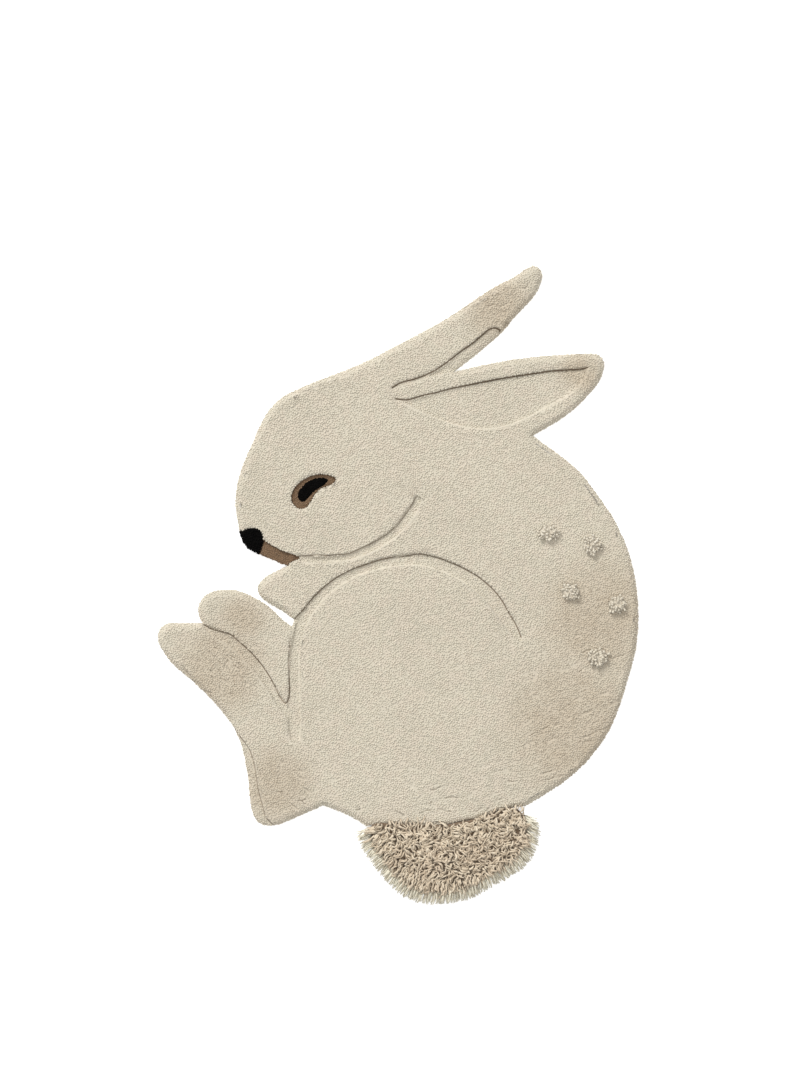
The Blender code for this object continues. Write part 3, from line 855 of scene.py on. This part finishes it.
# %% Comb the spots
SPOTS = {1: (282, 99), 2: (363, 76), 3: (323, -12), 4: (411, -35), 5: (375, -135)}
spots = []
for number, centre in SPOTS.items():
    core = finer(copy_of(f"spot_tuft_{number}", f"spot_{number}_core"), levels=1)
    uneven(core, drawn_in=1.6 * MM, swell=2.0 * MM)
    fan = combed(core, TUFT_STRANDS, f"spot_{number}_fan", spacing=3.5 * MM, seed=80 + number,
                 centre=centre, reach=(18, 18), lowest=14.0 * MM, facing=(-0.3, 1.1), wild=(1.2, 0.4),
                 tilt=(0.0, 0.8), size=(0.8, 1.1), bend_by=4.0 * MM, away_from_mat=False)
    spots.append(joined([core, fan], f"spot_{number}_yarn"))

# %% [markdown]
# ## The wool
#
# Undyed wool is matt and a little uneven in colour from one tuft to the next. Down between the ends,
# where light hardly reaches, the material paints shade. In the listed areas, where the pile is ruffled and
# creased, the wool is a little warmer and darker: partly its own tone, and partly painted shade, as at the
# far ends of the ears. The colour is worked out from the piece's own place and from the attributes that
# planting stored. The underside is the canvas that the yarn was tufted through.

# %% Make the yarn materials
WEAVE_PITCH = 1.8 * MM
FIBRE_SCALE = 1100.0


def wool(name, light, dark, patch, gap, patch_scale=7.0, sheen=0.2, contrast=0.5, root_share=1.0,
         warm_tone_and_shade=None, tint=None, canvas=None):
    """Matt yarn: `light` to `dark` by end, `patch` and `tint` in soft areas; `gap` is painted shade at the
    roots, in cuts and in dips.
    """
    material = bpy.data.materials.new(name)
    material.use_nodes = True
    material.node_tree.nodes.clear()
    tree = Tree(material.node_tree)
    place = tree.make("ShaderNodeTexCoord", output="Object")
    shade, tip, deep = (tree.make("ShaderNodeAttribute", {"attribute_name": kept}, output="Fac")
                        for kept in ("shade", "tip", "deep"))
    colour = blended(tree, shade, light, dark)
    colour = blended(tree, between(noise(tree, place, patch_scale, 3.0), 0.4, 0.68) * 0.7, colour, patch)
    if tint:
        colour = blended(tree, between(noise(tree, place, 48.0, 2.0), 0.42, 0.62) * 0.6, colour, tint)
    if warm_tone_and_shade:
        rough = roughness_at(tree, place)
        # Partly painted shade: the listed rough areas get a warmer, darker colour, which at the far ends of
        # the ears stands in for shade.
        colour = blended(tree, rough * (noise(tree, place, 28.0, 2.0) + 0.3), colour, warm_tone_and_shade)
        # Painted shade: where the grain has lowered the yarn ends, the gap colour darkens them.
        painted_dip_shade = 1.0 - between(grain(tree, place), 0.28, 0.47)
        colour = blended(tree, painted_dip_shade * 0.3 * (rough + 0.4), colour, gap)
    # Painted shade: the gap colour darkens each yarn towards its root, and darkens the cut lines where
    # `deep` is high.
    painted_shade = ((1.0 - between(tip, 0.0, root_share)) * contrast).at_least(between(deep, 0.12, 0.9) * 0.95)
    colour = blended(tree, painted_shade, colour, gap)
    if canvas:
        x, y, z = (axis_of(tree, place, axis) for axis in "XYZ")
        turns = 2 * math.pi / WEAVE_PITCH
        weave = x.maths("SINE", x * turns) * y.maths("SINE", y * turns)
        colour = blended(tree, 1.0 - between(z, 0.15 * MM, 0.4 * MM), colour,
                         blended(tree, weave * 0.3 + 0.3, canvas, gap))
    fibres = noise(tree, place, FIBRE_SCALE, 2.0)
    bump = tree.make("ShaderNodeBump", {}, {"Height": fibres, "Strength": 0.4, "Distance": 0.3 * MM})
    shader = tree.make("ShaderNodeBsdfPrincipled", {},
                       {"Base Color": colour, "Normal": bump, "Roughness": 0.95, "Specular IOR Level": 0.05,
                        "Sheen Weight": sheen, "Sheen Roughness": 0.5})
    end = material.node_tree.nodes.new("ShaderNodeOutputMaterial")
    tree.feed(end.inputs["Surface"], shader)
    return material


# The fourth colour of each wool is painted shade, for the roots, the cuts and the dips.
CREAM_PAINTED_SHADE = (0.150, 0.105, 0.068)
cream = wool("cream wool", (0.65, 0.605, 0.50), (0.60, 0.555, 0.45), (0.59, 0.545, 0.445), CREAM_PAINTED_SHADE,
             contrast=0.4, warm_tone_and_shade=(0.54, 0.47, 0.365), tint=(0.64, 0.575, 0.475), canvas=(0.52, 0.47, 0.38))
tuft_cream = wool("cream tuft wool", (0.66, 0.61, 0.51), (0.54, 0.485, 0.385), (0.60, 0.545, 0.44),
                  CREAM_PAINTED_SHADE, root_share=0.8, contrast=0.8)
shaggy = wool("shag wool", (0.68, 0.59, 0.455), (0.52, 0.43, 0.315), (0.54, 0.44, 0.325),
              (0.11, 0.066, 0.038), patch_scale=26.0, contrast=0.9, root_share=0.4)
combed_out = wool("combed shag wool", (0.74, 0.71, 0.59), (0.60, 0.55, 0.43), (0.62, 0.57, 0.45),
                  (0.13, 0.085, 0.055), patch_scale=26.0, contrast=0.85, root_share=0.3)
brown = wool("brown wool", (0.275, 0.176, 0.105), (0.17, 0.106, 0.06), (0.225, 0.145, 0.083),
             (0.035, 0.02, 0.012), patch_scale=40.0, contrast=0.85)
black = wool("black wool", (0.004, 0.0035, 0.003), (0.002, 0.002, 0.002), (0.003, 0.0025, 0.0025),
             (0.001, 0.001, 0.001), sheen=0.0)

# %% Give each piece its wool and its body, and hide the solid that it replaces
DRESSED = [(mat, cream, "cream_pile", ["rug_body"]), *[(part, cream, "cream_pile", []) for part in pile],
           (eye_rim, brown, "brown_pile", ["eye_surround"]), (pupil, black, "black_pile", ["eye_pupil"]),
           (nose, black, "black_pile", ["nose"]), (mouth, brown, "brown_pile", ["mouth_band"]),
           (cushion, shaggy, "shag_yarn", ["tail_shag"]), (shag, shaggy, "shag_yarn", []),
           (fringe, combed_out, "shag_yarn", [])]
DRESSED += [(spot, tuft_cream, "cream_tuft", [f"spot_tuft_{number}"])
            for number, spot in enumerate(spots, 1)]
for piece, material, slot, nodes in DRESSED:
    piece.data.materials.clear()
    piece.data.materials.append(material)
    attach(piece, "root")
    if nodes:
        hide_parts(*nodes)
for tool in [*LINES.values(), yarn_end, low_end, *MID_STRANDS, *RIM_STRANDS, *TUFT_STRANDS]:
    bpy.data.objects.remove(tool)
print("triangles in all:", sum(triangles(piece) for piece, *_ in DRESSED))

# %% [markdown]
# ## Floor, light and camera
#
# The rug lies on a plain pale floor. A large soft light stands well beyond its ears, high and to the left,
# a weak one hangs over the rug, and the camera looks straight down.

# %% Set the stage
FLOOR_SIZE = 30.0
FLOOR_HEIGHT = -0.5 * MM
ROOM_LIGHT = 0.4
bpy.ops.object.select_all(action="DESELECT")
bpy.ops.mesh.primitive_plane_add(size=FLOOR_SIZE, location=(0, 0, FLOOR_HEIGHT))
floor = bpy.context.object
floor.name = "floor"
paint = bpy.data.materials.new("pale floor")
paint.use_nodes = True
paint_shader = paint.node_tree.nodes["Principled BSDF"]
paint_shader.inputs["Base Color"].default_value = (0.92, 0.92, 0.92, 1.0)
paint_shader.inputs["Roughness"].default_value = 1.0
paint_shader.inputs["Emission Color"].default_value = (1.0, 1.0, 1.0, 1.0)
paint_shader.inputs["Emission Strength"].default_value = 0.4
floor.data.materials.append(paint)


def soft_light(name, place, size, watts):
    """A square area light that faces the rug."""
    data = bpy.data.lights.new(name, "AREA")
    data.size, data.energy = size, watts
    light = bpy.data.objects.new(name, data)
    light.location = place
    light.rotation_euler = (Vector((0, 0, 0)) - Vector(place)).to_track_quat("-Z", "Y").to_euler()
    light.visible_camera = False
    return drawn(light)


soft_light("window_light", place=(-6.0, 10.6, 8.5), size=4.6, watts=2080.0)
soft_light("ceiling_light", place=(0.3, -0.5, 5.0), size=4.0, watts=125.0)
world = bpy.data.worlds.new("room")
world.use_nodes = True
world.node_tree.nodes["Background"].inputs["Color"].default_value = (1.0, 1.0, 1.0, 1.0)
world.node_tree.nodes["Background"].inputs["Strength"].default_value = ROOM_LIGHT
bpy.context.scene.world = world

# The photograph's long side covers this many metres at the top of the pile.
PHOTO_LONG_SIDE = 2.0006
PHOTO_CENTRE = (3.75 * MM, 98.4 * MM)
PILE_TOP = 13.0 * MM
CAMERA_HEIGHT = 6.0
camera_data = bpy.data.cameras.new("camera")
camera_data.sensor_width = 36.0
camera_data.lens = camera_data.sensor_width * CAMERA_HEIGHT / PHOTO_LONG_SIDE
camera = drawn(bpy.data.objects.new("camera", camera_data))
camera.location = (*PHOTO_CENTRE, CAMERA_HEIGHT + PILE_TOP)
bpy.context.scene.camera = camera

bpy.context.view_layer.update()
